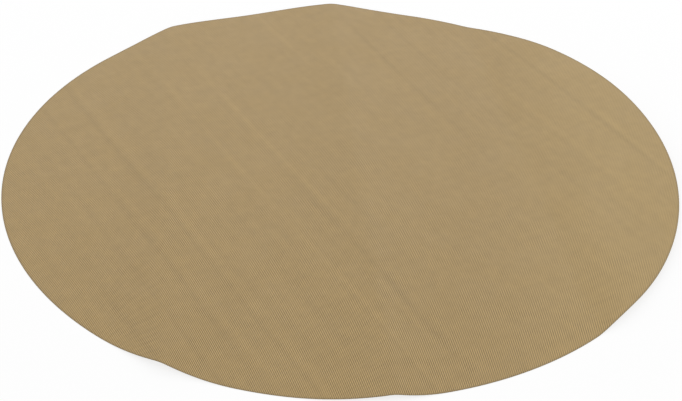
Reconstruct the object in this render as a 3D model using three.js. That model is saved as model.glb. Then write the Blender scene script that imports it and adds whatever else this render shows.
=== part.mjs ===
// Round baking mat: a disc of plain-woven glass cloth with a non-stick fluoropolymer film on
// each face. It lies loose on a table and keeps the soft folds it was packed with.
// Millimetres, +Z up. The origin is on the table under the middle of the mat, +X is to the
// right and +Y is away from the front.

import * as THREE from 'three';
import { ParametricGeometry } from 'three/addons/geometries/ParametricGeometry.js';
import { mergeGeometries, mergeVertices } from 'three/addons/utils/BufferGeometryUtils.js';

// The sheet
const MAT_DIAMETER = 260;
const CLOTH_THICKNESS = 0.09;
const COATING_THICKNESS = 0.03;

// The folds run from front to back, turned a little about the middle of the mat. Each fold line is
// given at its back and front end by its place across the mat and the height of the underside, and
// by the half width over which the sheet rounds there. The first one is placed from the middle of
// the mat, and each other one by the width of the panel to its left. The ends lie this far from
// the middle.
const FOLD_TURN_DEG = 5;
const FOLD_REACH = 130;

const LEFT_FOOT_BACK_AT = -85;
const LEFT_FOOT_FRONT_AT = -82;
const LEFT_FOOT_ROUNDING = 8;

const LEFT_RISE_BACK_WIDTH = 19;
const LEFT_RISE_FRONT_WIDTH = 13;
const LEFT_RIDGE_BACK_HEIGHT = 3.1;
const LEFT_RIDGE_FRONT_HEIGHT = 2.2;
const LEFT_RIDGE_ROUNDING = 2;

const LEFT_FALL_BACK_WIDTH = 26;
const LEFT_FALL_FRONT_WIDTH = 11;
const LEFT_STRIP_START_ROUNDING = 14;

const LEFT_STRIP_BACK_WIDTH = 14;
const LEFT_STRIP_FRONT_WIDTH = 43;
const LEFT_STRIP_END_ROUNDING = 14;

const MIDDLE_RISE_BACK_WIDTH = 31;
const MIDDLE_RISE_FRONT_WIDTH = 24;
const MIDDLE_RIDGE_BACK_HEIGHT = 3.4;
const MIDDLE_RIDGE_FRONT_HEIGHT = 1.8;
const MIDDLE_RIDGE_ROUNDING = 2;

const MIDDLE_FALL_BACK_WIDTH = 23;
const MIDDLE_FALL_FRONT_WIDTH = 6;
const RIGHT_STRIP_START_ROUNDING = 12;

const RIGHT_STRIP_BACK_WIDTH = 34;
const RIGHT_STRIP_FRONT_WIDTH = 72;
const RIGHT_STRIP_END_ROUNDING = 2;

const RIGHT_RISE_BACK_WIDTH = 29;
const RIGHT_RISE_FRONT_WIDTH = 8;
const RIGHT_RIDGE_BACK_HEIGHT = 4.2;
const RIGHT_RIDGE_FRONT_HEIGHT = 2.1;
const RIGHT_RIDGE_ROUNDING = 6;

const SHOULDER_SLOPE_BACK_WIDTH = 33;
const SHOULDER_SLOPE_FRONT_WIDTH = 16;
const SHOULDER_BACK_HEIGHT = 7.6;
const SHOULDER_ROUNDING = 6;

// Fineness of the round cut edge, and of the sheet along its folds
const EDGE_SIDES = 160;
const LENGTHWISE_SIDES = 6;

// A fold line from its back end to its front end; an end that lies on the table has no height.
function foldLine(backStep, frontStep, rounding, backHeight = 0, frontHeight = 0) {
  return { backStep, frontStep, rounding, backHeight, frontHeight };
}

const FOLD_LINES = [
  foldLine(LEFT_FOOT_BACK_AT, LEFT_FOOT_FRONT_AT, LEFT_FOOT_ROUNDING),
  foldLine(
    LEFT_RISE_BACK_WIDTH,
    LEFT_RISE_FRONT_WIDTH,
    LEFT_RIDGE_ROUNDING,
    LEFT_RIDGE_BACK_HEIGHT,
    LEFT_RIDGE_FRONT_HEIGHT,
  ),
  foldLine(LEFT_FALL_BACK_WIDTH, LEFT_FALL_FRONT_WIDTH, LEFT_STRIP_START_ROUNDING),
  foldLine(LEFT_STRIP_BACK_WIDTH, LEFT_STRIP_FRONT_WIDTH, LEFT_STRIP_END_ROUNDING),
  foldLine(
    MIDDLE_RISE_BACK_WIDTH,
    MIDDLE_RISE_FRONT_WIDTH,
    MIDDLE_RIDGE_ROUNDING,
    MIDDLE_RIDGE_BACK_HEIGHT,
    MIDDLE_RIDGE_FRONT_HEIGHT,
  ),
  foldLine(MIDDLE_FALL_BACK_WIDTH, MIDDLE_FALL_FRONT_WIDTH, RIGHT_STRIP_START_ROUNDING),
  foldLine(RIGHT_STRIP_BACK_WIDTH, RIGHT_STRIP_FRONT_WIDTH, RIGHT_STRIP_END_ROUNDING),
  foldLine(
    RIGHT_RISE_BACK_WIDTH,
    RIGHT_RISE_FRONT_WIDTH,
    RIGHT_RIDGE_ROUNDING,
    RIGHT_RIDGE_BACK_HEIGHT,
    RIGHT_RIDGE_FRONT_HEIGHT,
  ),
  foldLine(
    SHOULDER_SLOPE_BACK_WIDTH,
    SHOULDER_SLOPE_FRONT_WIDTH,
    SHOULDER_ROUNDING,
    SHOULDER_BACK_HEIGHT,
  ),
];

const RADIUS = MAT_DIAMETER / 2;
const COLUMNS = EDGE_SIDES / 2;
const STRIPS = COLUMNS - 1;
const EDGE_STEPS = 2 * (STRIPS + LENGTHWISE_SIDES);

// Heights of the four faces of the layered sheet above its underside
const UNDERSIDE = 0;
const CLOTH_BOTTOM = UNDERSIDE + COATING_THICKNESS;
const CLOTH_TOP = CLOTH_BOTTOM + CLOTH_THICKNESS;
const TOP_FACE = CLOTH_TOP + COATING_THICKNESS;

// A slope that starts at zero and reaches one, rounded over the given half width.
function roundedRamp(distance, rounding) {
  if (distance <= -rounding) {
    return 0;
  }
  if (distance >= rounding) {
    return distance;
  }
  return (distance + rounding) ** 2 / (4 * rounding);
}

// The fold lines where they cross a depth of the mat, as a place across it and a height.
function foldsAt(along) {
  const share = (along / FOLD_REACH + 1) / 2;
  let at = 0;
  return FOLD_LINES.map((line) => {
    at += THREE.MathUtils.lerp(line.frontStep, line.backStep, share);
    const height = THREE.MathUtils.lerp(line.frontHeight, line.backHeight, share);
    return { at, height, rounding: line.rounding };
  });
}

// Slope of the straight panel between two neighbouring folds; outside the last ones it is level.
function panelSlope(fold, next) {
  if (!fold || !next) {
    return 0;
  }
  return (next.height - fold.height) / (next.at - fold.at);
}

// Height of the underside at a place across and along the folds.
function foldHeight(across, along) {
  const folds = foldsAt(along);
  return folds.reduce((height, fold, index) => {
    const turn = panelSlope(fold, folds[index + 1]) - panelSlope(folds[index - 1], fold);
    return height + turn * roundedRamp(across - fold.at, fold.rounding);
  }, folds[0].height);
}

// Point of the sheet: u runs across the folds, v along them, both from 0 to 1 and edge to edge.
function sheetPoint(u, v, level, target) {
  const angle = ((u * STRIPS + 0.5) / COLUMNS) * Math.PI;
  const across = -RADIUS * Math.cos(angle);
  const along = (2 * v - 1) * RADIUS * Math.sin(angle);
  target.set(across, along, foldHeight(across, along) + level);
}

// Point of the cut edge: u runs once round the sheet, counter-clockwise from above.
function edgePoint(u, level, target) {
  const step = Math.round(u * EDGE_STEPS) % EDGE_STEPS;
  const right = STRIPS;
  const back = STRIPS + LENGTHWISE_SIDES;
  const left = 2 * STRIPS + LENGTHWISE_SIDES;
  if (step < right) {
    sheetPoint(step / STRIPS, 0, level, target);
  } else if (step < back) {
    sheetPoint(1, (step - right) / LENGTHWISE_SIDES, level, target);
  } else if (step < left) {
    sheetPoint(1 - (step - back) / STRIPS, 1, level, target);
  } else {
    sheetPoint(0, 1 - (step - left) / LENGTHWISE_SIDES, level, target);
  }
}

// One layer of the sheet between two heights above the underside. Its two faces are split along
// the same diagonals, so that neighbouring layers meet face to face.
function layer(name, low, high, finish) {
  const top = new ParametricGeometry(
    (u, v, target) => sheetPoint(u, v, high, target),
    STRIPS,
    LENGTHWISE_SIDES,
  );
  const bottom = new ParametricGeometry(
    (u, v, target) => sheetPoint(v, u, low, target),
    LENGTHWISE_SIDES,
    STRIPS,
  );
  const edge = new ParametricGeometry(
    (u, v, target) => edgePoint(u, THREE.MathUtils.lerp(low, high, v), target),
    EDGE_STEPS,
    1,
  );
  const shell = mergeGeometries([top, bottom, edge]);
  shell.deleteAttribute('normal');
  shell.deleteAttribute('uv');
  const geometry = mergeVertices(shell);
  geometry.rotateZ(THREE.MathUtils.degToRad(FOLD_TURN_DEG));
  geometry.computeVertexNormals();
  const mesh = new THREE.Mesh(geometry, finish);
  mesh.name = name;
  return mesh;
}

const COATING = new THREE.MeshStandardMaterial({ color: 0xa9936d, roughness: 0.5, metalness: 0 });
const CLOTH = new THREE.MeshStandardMaterial({ color: 0xb4a07a, roughness: 0.8, metalness: 0 });

const mat = new THREE.Group();
mat.name = 'baking_mat';
mat.add(layer('bottom_coating', UNDERSIDE, CLOTH_BOTTOM, COATING));
mat.add(layer('glass_cloth', CLOTH_BOTTOM, CLOTH_TOP, CLOTH));
mat.add(layer('top_coating', CLOTH_TOP, TOP_FACE, COATING));

export default mat;
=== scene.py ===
"""Round baking mat: woven glass cloth under a satin non-stick film, lying loose with its packing folds."""

import logging
import math
from dataclasses import dataclass, field
from enum import Enum
from typing import Union

import bmesh
import bpy
from mathutils import Matrix, Vector


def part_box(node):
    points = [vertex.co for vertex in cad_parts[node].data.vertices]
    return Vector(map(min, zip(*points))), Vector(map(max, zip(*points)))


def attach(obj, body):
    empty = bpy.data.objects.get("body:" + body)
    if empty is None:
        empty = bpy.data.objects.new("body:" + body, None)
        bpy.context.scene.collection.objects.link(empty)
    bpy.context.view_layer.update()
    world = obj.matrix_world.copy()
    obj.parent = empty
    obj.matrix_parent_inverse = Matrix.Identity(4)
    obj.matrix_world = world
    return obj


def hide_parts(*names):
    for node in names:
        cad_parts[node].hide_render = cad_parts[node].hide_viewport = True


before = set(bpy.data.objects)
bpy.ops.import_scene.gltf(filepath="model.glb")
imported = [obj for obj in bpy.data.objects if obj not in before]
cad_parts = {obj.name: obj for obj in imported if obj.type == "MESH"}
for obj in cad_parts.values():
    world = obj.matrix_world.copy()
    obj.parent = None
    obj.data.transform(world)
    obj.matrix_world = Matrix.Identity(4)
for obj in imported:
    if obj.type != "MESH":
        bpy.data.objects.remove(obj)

LOG = logging.getLogger("baking_mat")
MM = 0.001
FLAT_MAP = "Flat"
FLAT_MIDDLE = (0.5, 0.5, 0.0)

# Sockets of a Mix node that mixes colours, which share their names with those for plain values
MIX_FIRST_COLOR = 6
MIX_SECOND_COLOR = 7
MIX_COLOR_RESULT = 2

Socket = bpy.types.NodeSocket
Feed = Union[Socket, float, tuple]


class Side(Enum):
    """The face of the mat that a film covers."""

    UPPER = "upper"
    LOWER = "lower"


@dataclass(frozen=True)
class FoldLine:
    """One soft fold from the back of the mat to its front, in metres.

    Places are measured across the mat, heights from the table, and rounding is the half width of the bend.
    """

    back_at: float
    front_at: float
    rounding: float
    back_height: float = 0.0
    front_height: float = 0.0


@dataclass(frozen=True)
class PackingFolds:
    """The folds that the mat keeps from its packing: three ridges, two flat strips and a raised side."""

    turn: float = math.radians(5.0)
    reach: float = 130 * MM
    left_foot: FoldLine = FoldLine(-85 * MM, -82 * MM, 8 * MM)
    left_ridge: FoldLine = FoldLine(-66 * MM, -69 * MM, 2 * MM, back_height=3.1 * MM, front_height=2.2 * MM)
    left_strip_start: FoldLine = FoldLine(-40 * MM, -58 * MM, 14 * MM)
    left_strip_end: FoldLine = FoldLine(-26 * MM, -15 * MM, 14 * MM)
    middle_ridge: FoldLine = FoldLine(5 * MM, 9 * MM, 2 * MM, back_height=3.4 * MM, front_height=1.8 * MM)
    right_strip_start: FoldLine = FoldLine(28 * MM, 15 * MM, 12 * MM)
    right_strip_end: FoldLine = FoldLine(62 * MM, 87 * MM, 2 * MM)
    right_ridge: FoldLine = FoldLine(91 * MM, 95 * MM, 6 * MM, back_height=4.2 * MM, front_height=2.1 * MM)
    shoulder: FoldLine = FoldLine(124 * MM, 111 * MM, 6 * MM, back_height=7.6 * MM)

    def lines(self) -> tuple[FoldLine, ...]:
        """List the folds in their order across the mat.

        Returns:
            The fold lines from left to right.
        """
        left = (self.left_foot, self.left_ridge, self.left_strip_start, self.left_strip_end)
        right = (self.right_strip_start, self.right_strip_end, self.right_ridge, self.shoulder)
        return (*left, self.middle_ridge, *right)

    @staticmethod
    def rounded_ramp(distance: float, rounding: float) -> float:
        """A slope that goes from zero to one, rounded over a half width.

        Args:
            distance: distance past the fold line.
            rounding: half width of the bend.

        Returns:
            The height of the ramp at that distance.
        """
        if distance <= -rounding:
            return 0.0
        if distance >= rounding:
            return distance
        return (distance + rounding) ** 2 / (4 * rounding)

    def height(self, x: float, y: float) -> float:
        """Height of the mat's underside above the table.

        Args:
            x: place to the right of the middle.
            y: place behind the middle.

        Returns:
            The height in metres.
        """
        across = x * math.cos(self.turn) + y * math.sin(self.turn)
        along = y * math.cos(self.turn) - x * math.sin(self.turn)
        share = (along / self.reach + 1) / 2
        lines = self.lines()
        places = [line.front_at + (line.back_at - line.front_at) * share for line in lines]
        heights = [line.front_height + (line.back_height - line.front_height) * share for line in lines]
        slopes = [0.0]
        for index in range(len(places) - 1):
            slopes.append((heights[index + 1] - heights[index]) / (places[index + 1] - places[index]))
        slopes.append(0.0)
        height = heights[0]
        for index, line in enumerate(lines):
            turn = slopes[index + 1] - slopes[index]
            height += turn * self.rounded_ramp(across - places[index], line.rounding)
        return height


@dataclass(frozen=True)
class Unevenness:
    """A soft random pattern: its features per unit of length, their fineness and how strong it is.

    The pattern's plain values lie about the middle, mostly between low and high.
    """

    across: float
    along: float
    detail: float
    rough: float
    strength: float
    low: float = 0.3
    high: float = 0.7
    middle: float = 0.5


class ShaderSketch:
    """Adds and joins the shader nodes of one material."""

    def __init__(self, name: str) -> None:
        """Start a material with an empty node tree.

        Args:
            name: the material's name.
        """
        self.material = bpy.data.materials.new(name)
        self.material.use_nodes = True
        self.tree = self.material.node_tree
        self.tree.nodes.clear()

    def node(self, kind: str, **settings: object) -> bpy.types.Node:
        """Add a node.

        Args:
            kind: the node's type name.
            settings: properties to set on it.

        Returns:
            The new node.
        """
        made = self.tree.nodes.new(kind)
        for key, value in settings.items():
            setattr(made, key, value)
        return made

    def feed(self, target: Socket, value: Feed) -> None:
        """Link a socket to an input, or set the input's own value.

        Args:
            target: the input socket.
            value: an output socket or a plain value.
        """
        if isinstance(value, bpy.types.NodeSocket):
            self.tree.links.new(value, target)
        else:
            target.default_value = value

    def math(self, operation: str, first: Feed, second: Feed = 0.0, third: Feed = 0.0) -> Socket:
        """Work out one value from up to three.

        Args:
            operation: the Math node's operation.
            first: the first value.
            second: the second value, where the operation takes two.
            third: the third value, where it takes three.

        Returns:
            The result's socket.
        """
        made = self.node("ShaderNodeMath", operation=operation)
        for target, value in zip(made.inputs, (first, second, third)):
            self.feed(target, value)
        return made.outputs[0]

    def vector(self, operation: str, first: Feed, second: Feed) -> Socket:
        """Work out one vector from two.

        Args:
            operation: the Vector Math node's operation.
            first: the first vector.
            second: the second vector, or the factor of a scaling.

        Returns:
            The result's socket.
        """
        made = self.node("ShaderNodeVectorMath", operation=operation)
        self.feed(made.inputs[0], first)
        self.feed(made.inputs["Scale"] if operation == "SCALE" else made.inputs[1], second)
        return made.outputs["Vector"]

    def noise(self, place: Socket, pattern: Unevenness) -> Socket:
        """The plain values of a soft random pattern.

        Args:
            place: coordinates that the pattern lies on.
            pattern: the pattern.

        Returns:
            The pattern's value.
        """
        made = self.node("ShaderNodeTexNoise", noise_dimensions="3D")
        scaled = self.vector("MULTIPLY", place, (pattern.across, pattern.along, 1.0))
        self.feed(made.inputs["Vector"], scaled)
        made.inputs["Scale"].default_value = 1.0
        made.inputs["Detail"].default_value = pattern.detail
        made.inputs["Roughness"].default_value = pattern.rough
        return made.outputs["Fac"]

    def uneven(self, place: Socket, pattern: Unevenness) -> Socket:
        """A soft random change about zero.

        Args:
            place: coordinates that the pattern lies on.
            pattern: the pattern.

        Returns:
            The change, which grows with the pattern's strength.
        """
        centred = self.math("SUBTRACT", self.noise(place, pattern), pattern.middle)
        return self.math("MULTIPLY", centred, pattern.strength)

    def about(self, place: Socket, pattern: Unevenness, value: float) -> Socket:
        """A value that varies softly, by no more than the pattern's strength.

        Args:
            place: coordinates that the pattern lies on.
            pattern: the pattern.
            value: the value that it varies about.

        Returns:
            The varying value.
        """
        low, high = value - pattern.strength, value + pattern.strength
        return self.spread(self.noise(place, pattern), pattern.low, pattern.high, low, high)

    def spread(self, value: Socket, low: float, high: float, to_low: float, to_high: float) -> Socket:
        """Map a range of values smoothly onto another, held at its ends.

        Args:
            value: the value to map.
            low: start of its range.
            high: end of its range.
            to_low: result at the start.
            to_high: result at the end.

        Returns:
            The mapped value.
        """
        made = self.node("ShaderNodeMapRange", interpolation_type="SMOOTHSTEP")
        self.feed(made.inputs["Value"], value)
        for name, number in zip(("From Min", "From Max", "To Min", "To Max"), (low, high, to_low, to_high)):
            made.inputs[name].default_value = number
        return made.outputs["Result"]

    def finish(self, shader: Socket) -> bpy.types.Material:
        """Join the shader to the material's output.

        Args:
            shader: the surface shader's socket.

        Returns:
            The finished material.
        """
        output = self.node("ShaderNodeOutputMaterial")
        self.tree.links.new(shader, output.inputs["Surface"])
        return self.material


@dataclass(frozen=True)
class PlainWeave:
    """The glass cloth's yarns: their pitch, how they lie on the mat and how they wander."""

    turn: float = math.radians(30.7)
    warp_pitch: float = 0.4213 * MM
    weft_pitch: float = 0.4398 * MM
    slant: float = 0.5
    wander: Unevenness = Unevenness(across=45.0, along=45.0, detail=1.0, rough=0.5, strength=0.48)

    def place(self, sketch: ShaderSketch, diameter: float) -> Socket:
        """Coordinates on the flat sheet in metres, turned to lie across the warp and across the weft.

        Args:
            sketch: the material's node sketch.
            diameter: the mat's diameter, which the flat map spans.

        Returns:
            The coordinates' socket.
        """
        flat = sketch.node("ShaderNodeUVMap", uv_map=FLAT_MAP)
        centred = sketch.vector("SUBTRACT", flat.outputs["UV"], FLAT_MIDDLE)
        mapping = sketch.node("ShaderNodeMapping", vector_type="POINT")
        sketch.feed(mapping.inputs["Vector"], centred)
        mapping.inputs["Rotation"].default_value = (0.0, 0.0, -self.turn)
        mapping.inputs["Scale"].default_value = (diameter, diameter, diameter)
        return mapping.outputs["Vector"]

    def yarn_angles(self, sketch: ShaderSketch, place: Socket) -> tuple[Socket, Socket]:
        """Angles that grow by half a turn from one yarn to the next, for warp and weft.

        Args:
            sketch: the material's node sketch.
            place: coordinates across the yarns in metres.

        Returns:
            The warp angle and the weft angle.
        """
        drift = sketch.uneven(place, self.wander)
        split = sketch.node("ShaderNodeSeparateXYZ")
        sketch.feed(split.inputs[0], place)
        angles = []
        for name, pitch in (("X", self.warp_pitch), ("Y", self.weft_pitch)):
            count = sketch.math("ADD", sketch.math("DIVIDE", split.outputs[name], pitch), drift)
            angles.append(sketch.math("MULTIPLY", count, math.pi))
        return angles[0], angles[1]

    @staticmethod
    def yarn_crowns(sketch: ShaderSketch, angles: tuple[Socket, Socket]) -> tuple[Socket, Socket]:
        """Height of the rounded yarns: 0 between neighbouring yarns and 1 on top of each.

        Args:
            sketch: the material's node sketch.
            angles: the warp angle and the weft angle.

        Returns:
            The warp's height and the weft's height.
        """
        warp, weft = (sketch.math("ABSOLUTE", sketch.math("SINE", angle)) for angle in angles)
        return warp, weft

    def crossings(self, sketch: ShaderSketch, angles: tuple[Socket, Socket]) -> Socket:
        """Args:
            sketch: the material's node sketch.
            angles: the warp angle and the weft angle.

        Returns:
            About 1 where the warp lies on top and -1 where the weft does.
        """
        warp, weft = (sketch.math("SINE", angle) for angle in angles)
        checks = sketch.math("MULTIPLY", sketch.math("MULTIPLY", warp, weft), 1 - self.slant)
        lines = sketch.math("COSINE", sketch.math("SUBTRACT", *angles))
        return sketch.math("ADD", checks, sketch.math("MULTIPLY", lines, self.slant / 2))


@dataclass(frozen=True)
class WarpStreak:
    """A line along the warp that is lighter or darker than the film round it.

    The place is measured across the warp in metres, and tone is how much lighter the line is than what lies
    round it. The middle and the reach are measured along the warp. The streak fades between two shares of
    its reach, and the rest stays.
    """

    at: float
    tone: float
    middle: float = 0.0
    reach: float = 130 * MM
    width: float = 2.0 * MM
    fade_start: float = 0.7
    fade_end: float = 1.4
    rest: float = 0.25


@dataclass(frozen=True)
class FilmFinish:
    """Tan fluoropolymer film: satin, a little uneven, with the weave showing through and lighter and darker
    lines along the warp; towards the right side a painted sheen is added to its colour.
    """

    color: tuple[float, float, float] = (0.392, 0.2645, 0.1025)
    # Painted sheen: a pale colour added to the film's colour towards the right side, in place of light that
    # the raised right part reflects
    painted_sheen: tuple[float, float, float] = (0.042, 0.034, 0.016)
    painted_sheen_start: float = 0.68
    painted_sheen_end: float = 0.94
    roughness: float = 0.52
    wear: Unevenness = Unevenness(across=60.0, along=60.0, detail=2.0, rough=0.5, strength=0.015)
    refraction: float = 1.38
    relief: float = 0.012 * MM
    weave_tone: float = 1.0
    gap_tone: float = 0.12
    gap_level: float = 0.4
    covered_share: float = 0.2
    cover_slant: float = 0.4
    cover_start: float = 0.28
    cover_end: float = 0.95
    cover: Unevenness = Unevenness(across=9.0, along=9.0, detail=3.0, rough=0.6, strength=0.6)
    patches: Unevenness = Unevenness(
        across=45.0, along=45.0, detail=2.0, rough=0.6, strength=0.3, low=0.35, high=0.65
    )
    warp_lines: Unevenness = Unevenness(across=330.0, along=9.0, detail=2.0, rough=0.65, strength=0.12)
    weft_lines: Unevenness = Unevenness(across=8.0, along=300.0, detail=2.0, rough=0.6, strength=0.06)
    mottle: Unevenness = Unevenness(across=38.0, along=30.0, detail=3.0, rough=0.55, strength=0.085)
    grain: Unevenness = Unevenness(across=260.0, along=210.0, detail=1.0, rough=0.5, strength=0.15)
    rim_width: float = 1.0 * MM
    rim_tone: float = 0.72
    streaks: tuple[WarpStreak, ...] = (
        WarpStreak(-110.0 * MM, -0.050, -45 * MM, 20 * MM),
        WarpStreak(-96.0 * MM, -0.032, -40 * MM, 45 * MM),
        WarpStreak(-83.4 * MM, -0.042),
        WarpStreak(-79.8 * MM, 0.025),
        WarpStreak(-69.2 * MM, -0.048),
        WarpStreak(-65.8 * MM, 0.042),
        WarpStreak(-62.3 * MM, -0.035, -70 * MM, 35 * MM),
        WarpStreak(-34.0 * MM, -0.035, -90 * MM, 35 * MM),
        WarpStreak(-32.0 * MM, 0.042, -20 * MM, 80 * MM),
        WarpStreak(-17.8 * MM, -0.052, -60 * MM, 65 * MM),
        WarpStreak(-14.0 * MM, 0.055, 30 * MM, 50 * MM),
        WarpStreak(-5.6 * MM, -0.040, -10 * MM, 12 * MM),
        WarpStreak(28.8 * MM, 0.050, 105 * MM, 20 * MM),
        WarpStreak(60.0 * MM, -0.036, 55 * MM, 40 * MM),
        WarpStreak(76.8 * MM, -0.030),
        WarpStreak(92.4 * MM, 0.032, -30 * MM, 55 * MM),
        WarpStreak(110.4 * MM, -0.060, 10 * MM, 55 * MM),
        WarpStreak(112.8 * MM, 0.040, -40 * MM, 25 * MM),
    )

    def streak_sum(self, sketch: ShaderSketch, place: Socket) -> Socket:
        """The single streaks, each fading away towards its ends.

        Args:
            sketch: the material's node sketch.
            place: coordinates across the yarns in metres.

        Returns:
            The lightening by all streaks together.
        """
        split = sketch.node("ShaderNodeSeparateXYZ")
        sketch.feed(split.inputs[0], place)
        total: Feed = 0.0
        for streak in self.streaks:
            off = sketch.math("ABSOLUTE", sketch.math("SUBTRACT", split.outputs["X"], streak.at))
            line = sketch.spread(off, 0.0, streak.width, streak.tone, 0.0)
            past = sketch.math("ABSOLUTE", sketch.math("SUBTRACT", split.outputs["Y"], streak.middle))
            start, end = streak.fade_start * streak.reach, streak.fade_end * streak.reach
            fade = sketch.spread(past, start, end, 1.0, streak.rest)
            total = sketch.math("ADD", sketch.math("MULTIPLY", line, fade), total)
        return total

    def weave_share(self, sketch: ShaderSketch) -> Socket:
        """How clearly the weave shows: well at the front, less at the back where the film is thicker.

        Args:
            sketch: the material's node sketch.

        Returns:
            The share, from about the covered share to about 1.
        """
        flat = sketch.node("ShaderNodeUVMap", uv_map=FLAT_MAP).outputs["UV"]
        split = sketch.node("ShaderNodeSeparateXYZ")
        sketch.feed(split.inputs[0], flat)
        depth = sketch.math("MULTIPLY_ADD", split.outputs["X"], self.cover_slant, split.outputs["Y"])
        depth = sketch.math("ADD", depth, sketch.uneven(flat, self.cover))
        share = sketch.spread(depth, self.cover_start, self.cover_end, 1.0, self.covered_share)
        return sketch.math("MULTIPLY", share, sketch.about(flat, self.patches, 1.0))

    def tone(self, sketch: ShaderSketch, place: Socket, over: Socket, diameter: float) -> Socket:
        """How light the film is at each place, about 1.

        Args:
            sketch: the material's node sketch.
            place: coordinates across the yarns in metres.
            over: the weave's crossings.
            diameter: the mat's diameter.

        Returns:
            The tone's socket.
        """
        shown = sketch.math("MULTIPLY", self.weave_share(sketch), self.weave_tone)
        tone = sketch.math("MULTIPLY_ADD", over, shown, 1.0)
        gaps = sketch.math("SUBTRACT", self.gap_level, sketch.math("ABSOLUTE", over))
        tone = sketch.math("SUBTRACT", tone, sketch.math("MULTIPLY", gaps, self.gap_tone))
        for pattern in (self.warp_lines, self.weft_lines, self.mottle, self.grain):
            tone = sketch.math("ADD", tone, sketch.uneven(place, pattern))
        tone = sketch.math("ADD", tone, self.streak_sum(sketch, place))
        reach = sketch.node("ShaderNodeVectorMath", operation="LENGTH")
        sketch.feed(reach.inputs[0], place)
        edge = diameter / 2
        rim = sketch.spread(reach.outputs["Value"], edge - self.rim_width, edge, 1.0, self.rim_tone)
        return sketch.math("MULTIPLY", tone, rim)

    def material(self, name: str, weave: PlainWeave, diameter: float) -> bpy.types.Material:
        """Make the film's material.

        Args:
            name: the material's name.
            weave: the cloth below the film.
            diameter: the mat's diameter.

        Returns:
            The finished material.
        """
        sketch = ShaderSketch(name)
        place = weave.place(sketch, diameter)
        angles = weave.yarn_angles(sketch, place)
        shader = sketch.node("ShaderNodeBsdfPrincipled")
        tone = self.tone(sketch, place, weave.crossings(sketch, angles), diameter)
        tan = sketch.vector("SCALE", self.color, tone)
        # Painted sheen: the pale colour is added to the tan across the right side of the flat map
        across = sketch.node("ShaderNodeSeparateXYZ")
        sketch.feed(across.inputs[0], sketch.node("ShaderNodeUVMap", uv_map=FLAT_MAP).outputs["UV"])
        painted_sheen_share = sketch.spread(across.outputs["X"], self.painted_sheen_start, self.painted_sheen_end, 0.0, 1.0)
        painted_sheen_color = sketch.vector("SCALE", self.painted_sheen, painted_sheen_share)
        sketch.feed(shader.inputs["Base Color"], sketch.vector("ADD", tan, painted_sheen_color))
        sketch.feed(shader.inputs["Roughness"], sketch.about(place, self.wear, self.roughness))
        shader.inputs["IOR"].default_value = self.refraction
        crowns = sketch.math("ADD", *weave.yarn_crowns(sketch, angles))
        bump = sketch.node("ShaderNodeBump")
        bump.inputs["Strength"].default_value = 1.0
        bump.inputs["Distance"].default_value = self.relief
        sketch.feed(bump.inputs["Height"], crowns)
        sketch.feed(shader.inputs["Normal"], bump.outputs["Normal"])
        return sketch.finish(shader.outputs["BSDF"])


@dataclass(frozen=True)
class YarnEndFinish:
    """The cut edge of the cloth: pale glass yarn ends, set in tan film."""

    glass: tuple[float, float, float] = (0.46, 0.37, 0.22)
    film: tuple[float, float, float] = (0.25, 0.18, 0.09)
    film_level: float = 0.1
    glass_level: float = 0.8
    roughness: float = 0.7

    def material(self, name: str, weave: PlainWeave, diameter: float) -> bpy.types.Material:
        """Make the cut edge's material.

        Args:
            name: the material's name.
            weave: the cloth that is cut.
            diameter: the mat's diameter.

        Returns:
            The finished material.
        """
        sketch = ShaderSketch(name)
        place = weave.place(sketch, diameter)
        ends = sketch.math("MULTIPLY", *weave.yarn_crowns(sketch, weave.yarn_angles(sketch, place)))
        mix = sketch.node("ShaderNodeMix", data_type="RGBA")
        sketch.feed(mix.inputs[0], sketch.spread(ends, self.film_level, self.glass_level, 0.0, 1.0))
        mix.inputs[MIX_FIRST_COLOR].default_value = (*self.film, 1.0)
        mix.inputs[MIX_SECOND_COLOR].default_value = (*self.glass, 1.0)
        shader = sketch.node("ShaderNodeBsdfPrincipled")
        sketch.feed(shader.inputs["Base Color"], mix.outputs[MIX_COLOR_RESULT])
        shader.inputs["Roughness"].default_value = self.roughness
        return sketch.finish(shader.outputs["BSDF"])


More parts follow.
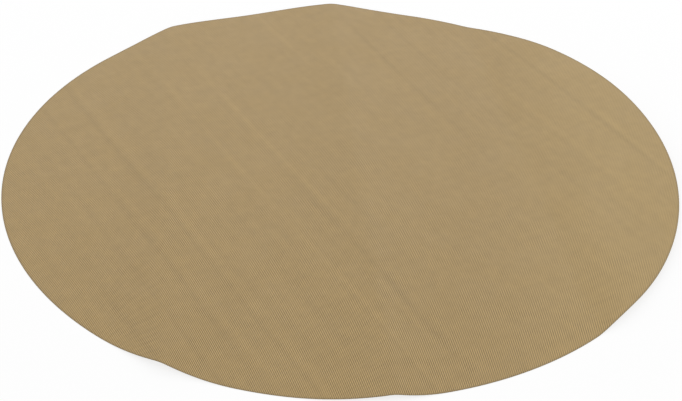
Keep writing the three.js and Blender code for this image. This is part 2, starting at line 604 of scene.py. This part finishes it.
@dataclass
class MatLayer:
    """One layer of the mat: a thin round sheet that follows the folds."""

    name: str
    node: str
    slot: str
    low: float
    high: float
    radius: float
    folds: PackingFolds
    rings: int = 96
    sectors: int = 480
    weld: float = 0.01 * MM
    crease: float = math.radians(40)
    piece: bpy.types.Object = field(init=False)

    def disc(self) -> bmesh.types.BMesh:
        """Spin a radius of the mat into a flat disc with its flat map.

        Returns:
            The disc, facing up.
        """
        mesh = bmesh.new()
        middle = mesh.verts.new((0.0, 0.0, 0.0))
        rim = mesh.verts.new((self.radius, 0.0, 0.0))
        spoke = mesh.edges.new((middle, rim))
        bmesh.ops.subdivide_edges(mesh, edges=[spoke], cuts=self.rings - 1)
        bmesh.ops.spin(
            mesh,
            geom=mesh.verts[:] + mesh.edges[:],
            cent=(0.0, 0.0, 0.0),
            axis=(0.0, 0.0, 1.0),
            angle=math.tau,
            steps=self.sectors,
            use_merge=True,
        )
        bmesh.ops.remove_doubles(mesh, verts=mesh.verts[:], dist=self.weld)
        bmesh.ops.recalc_face_normals(mesh, faces=mesh.faces[:])
        if mesh.faces[:][0].normal.z < 0:
            bmesh.ops.reverse_faces(mesh, faces=mesh.faces[:])
        return mesh

    def build(self) -> bpy.types.Object:
        """Make the layer's mesh and put it in place of its solid.

        Returns:
            The finished piece.
        """
        mesh = self.disc()
        raised = bmesh.ops.extrude_face_region(mesh, geom=mesh.faces[:])
        upper = {part for part in raised["geom"] if isinstance(part, bmesh.types.BMVert)}
        flat = mesh.loops.layers.uv.new(FLAT_MAP)
        for face in mesh.faces:
            face.smooth = True
            for loop in face.loops:
                place = loop.vert.co
                loop[flat].uv = (place.x / (2 * self.radius) + 0.5, place.y / (2 * self.radius) + 0.5)
        for vert in mesh.verts:
            level = self.high if vert in upper else self.low
            vert.co.z = self.folds.height(vert.co.x, vert.co.y) + level
        bmesh.ops.recalc_face_normals(mesh, faces=mesh.faces[:])
        for edge in mesh.edges:
            edge.smooth = edge.calc_face_angle(0.0) < self.crease
        data = bpy.data.meshes.new(self.name)
        mesh.to_mesh(data)
        mesh.free()
        self.piece = bpy.data.objects.new(self.name, data)
        bpy.context.scene.collection.objects.link(self.piece)
        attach(self.piece, "root")
        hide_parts(self.node)
        LOG.info("%s: %d faces, %.2f mm thick", self.name, len(data.polygons), (self.high - self.low) / MM)
        return self.piece

    def dress(self, material: bpy.types.Material) -> None:
        """Give the layer its finish.

        Args:
            material: the finish's material.
        """
        self.piece.data.materials.append(material)


@dataclass
class BakingMat:
    """The whole mat: a woven cloth between two films."""

    diameter: float
    cloth_thickness: float = 0.09 * MM
    film_thickness: float = 0.03 * MM
    folds: PackingFolds = field(default_factory=PackingFolds)
    weave: PlainWeave = field(default_factory=PlainWeave)
    film: FilmFinish = field(default_factory=FilmFinish)
    yarn_ends: YarnEndFinish = field(default_factory=YarnEndFinish)

    def build(self) -> None:
        """Make the three layers and dress them; each layer logs its name and size."""
        cloth_low = self.film_thickness
        cloth_high = cloth_low + self.cloth_thickness
        top = cloth_high + self.film_thickness
        radius = self.diameter / 2
        lower = MatLayer("lower_film", "bottom_coating", "coating", 0.0, cloth_low, radius, self.folds)
        cloth = MatLayer("woven_cloth", "glass_cloth", "cloth", cloth_low, cloth_high, radius, self.folds)
        upper = MatLayer("upper_film", "top_coating", "coating", cloth_high, top, radius, self.folds)
        for layer in (lower, cloth, upper):
            layer.build()
        for side, layer in ((Side.LOWER, lower), (Side.UPPER, upper)):
            layer.dress(self.film.material(f"tan_film_{side.value}", self.weave, self.diameter))
        cloth.dress(self.yarn_ends.material("cut_yarn_ends", self.weave, self.diameter))


@dataclass(frozen=True)
class Studio:
    """A white floor, an even pale grey surround and a wide softbox low behind the mat."""

    floor_size: float = 6.0
    floor_gap: float = 0.02 * MM
    floor_color: tuple[float, float, float] = (0.97, 0.97, 0.97)
    floor_white: float = 0.78
    white_level: float = 1.03
    backdrop: float = 1.0
    surround: float = 0.92
    lamp_place: tuple[float, float, float] = (0.1, 1.4, 0.72)
    lamp_width: float = 2.8
    lamp_height: float = 0.6
    lamp_power: float = 11.5

    @staticmethod
    def seen(tree: bpy.types.NodeTree) -> Socket:
        """Tell rays that show the background, straight or mirrored, from those that only carry light.

        Args:
            tree: node tree of the floor or of the surround.

        Returns:
            1 on a ray that shows the background, and 0 on any other.
        """
        light = tree.nodes.new("ShaderNodeLightPath")
        share = light.outputs["Is Camera Ray"]
        for name in ("Is Glossy Ray", "Is Transmission Ray"):
            either = tree.nodes.new("ShaderNodeMath")
            either.operation = "MAXIMUM"
            tree.links.new(share, either.inputs[0])
            tree.links.new(light.outputs[name], either.inputs[1])
            share = either.outputs[0]
        return share

    def floor(self) -> None:
        """Lay the floor, which shows white to the camera and keeps the mat's shadow."""
        mesh = bmesh.new()
        below = Matrix.Translation((0.0, 0.0, -self.floor_gap))
        bmesh.ops.create_grid(mesh, x_segments=1, y_segments=1, size=self.floor_size / 2, matrix=below)
        data = bpy.data.meshes.new("floor")
        mesh.to_mesh(data)
        mesh.free()
        floor = bpy.data.objects.new("floor", data)
        bpy.context.scene.collection.objects.link(floor)
        sketch = ShaderSketch("white_floor")
        matt = sketch.node("ShaderNodeBsdfDiffuse")
        matt.inputs["Color"].default_value = (*self.floor_color, 1.0)
        white = sketch.node("ShaderNodeEmission")
        white.inputs["Strength"].default_value = self.white_level
        both = sketch.node("ShaderNodeMixShader")
        sketch.feed(both.inputs[0], sketch.math("MULTIPLY", self.seen(sketch.tree), self.floor_white))
        sketch.feed(both.inputs[1], matt.outputs[0])
        sketch.feed(both.inputs[2], white.outputs[0])
        data.materials.append(sketch.finish(both.outputs[0]))

    def light(self) -> None:
        """Set the surround, which shows a little brighter than it lights the mat, and the soft lamp."""
        world = bpy.data.worlds.new("surround")
        bpy.context.scene.world = world
        world.use_nodes = True
        tree = world.node_tree
        tree.nodes.clear()
        strength = tree.nodes.new("ShaderNodeMapRange")
        strength.inputs["To Min"].default_value = self.surround
        strength.inputs["To Max"].default_value = self.backdrop
        tree.links.new(self.seen(tree), strength.inputs["Value"])
        back = tree.nodes.new("ShaderNodeBackground")
        tree.links.new(strength.outputs["Result"], back.inputs["Strength"])
        output = tree.nodes.new("ShaderNodeOutputWorld")
        tree.links.new(back.outputs[0], output.inputs["Surface"])
        lamp = bpy.data.lights.new("soft_lamp", "AREA")
        lamp.shape = "RECTANGLE"
        lamp.size = self.lamp_width
        lamp.size_y = self.lamp_height
        lamp.energy = self.lamp_power
        holder = bpy.data.objects.new("soft_lamp", lamp)
        holder.location = self.lamp_place
        holder.rotation_euler = Vector(self.lamp_place).to_track_quat("Z", "Y").to_euler()
        bpy.context.scene.collection.objects.link(holder)


@dataclass(frozen=True)
class PhotoCamera:
    """The photograph's view: a long lens from the front, a little tilted."""

    picture_width: int = 682
    distance: float = 728 * MM
    elevation: float = math.radians(34.73)
    aim_down: float = math.radians(0.712)
    aim_right: float = math.radians(0.033)
    roll: float = math.radians(1.793)
    focal_pixels: float = 1875.5
    sensor: float = 36.0
    near_clip: float = 10 * MM

    def place(self) -> None:
        """Put the camera where the photograph was taken."""
        back = Vector((0.0, -math.cos(self.elevation), math.sin(self.elevation)))
        right = Vector((1.0, 0.0, 0.0))
        up = back.cross(right)
        stance = Matrix((right, up, back)).transposed()
        aim = Matrix.Rotation(-self.aim_right, 3, "Y") @ Matrix.Rotation(-self.aim_down, 3, "X")
        turn = stance @ aim @ Matrix.Rotation(self.roll, 3, "Z")
        lens = bpy.data.cameras.new("photo_camera")
        lens.sensor_fit = "HORIZONTAL"
        lens.sensor_width = self.sensor
        lens.lens = self.focal_pixels * self.sensor / self.picture_width
        lens.clip_start = self.near_clip
        holder = bpy.data.objects.new("photo_camera", lens)
        holder.matrix_world = Matrix.Translation(back * self.distance) @ turn.to_4x4()
        bpy.context.scene.collection.objects.link(holder)
        bpy.context.scene.camera = holder


def main() -> None:
    """Build the mat, the studio and the camera, and note the sizes."""
    logging.basicConfig(level=logging.INFO, format="%(name)s: %(message)s")
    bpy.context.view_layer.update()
    low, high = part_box("glass_cloth")
    PhotoCamera().place()
    BakingMat(diameter=round(high[0] - low[0], 3)).build()
    studio = Studio()
    studio.floor()
    studio.light()
    bpy.context.scene.view_settings.view_transform = "Standard"


if __name__ == "__main__":
    main()
